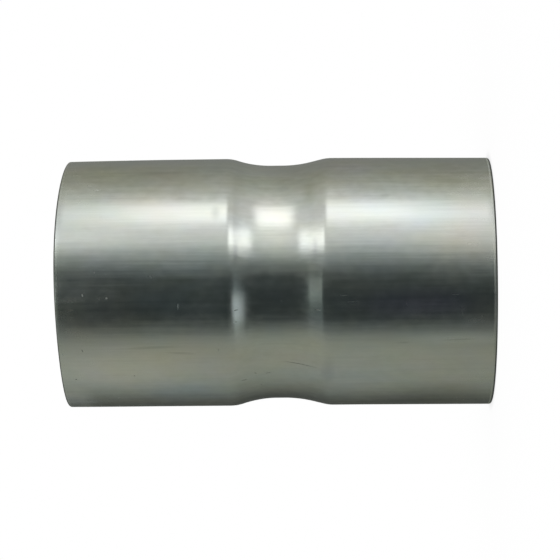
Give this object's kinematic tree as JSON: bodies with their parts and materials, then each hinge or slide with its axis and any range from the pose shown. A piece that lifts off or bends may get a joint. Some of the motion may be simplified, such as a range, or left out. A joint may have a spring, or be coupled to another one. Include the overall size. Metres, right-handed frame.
{
  "type": "pipe coupling sleeve",
  "caption": "Short steel tube with both ends pressed out into slip sockets and a narrower neck between them, which joins two pipes end to end.",
  "frame": {"origin": "centre of the lower mouth, on the surface that the sleeve stands on", "axes": "+Z along the sleeve's own axis, from the lower mouth to the upper one; +X and +Y square to it, all directions round the axis being alike"},
  "size_m": [0.054, 0.054, 0.092],
  "materials": {
    "steel": "bare drawn steel tube, half dull, with faint lengthwise drawing lines"
  },
  "bodies": {
    "root": {"coupling_sleeve": "steel"}
  },
  "joints": []
}
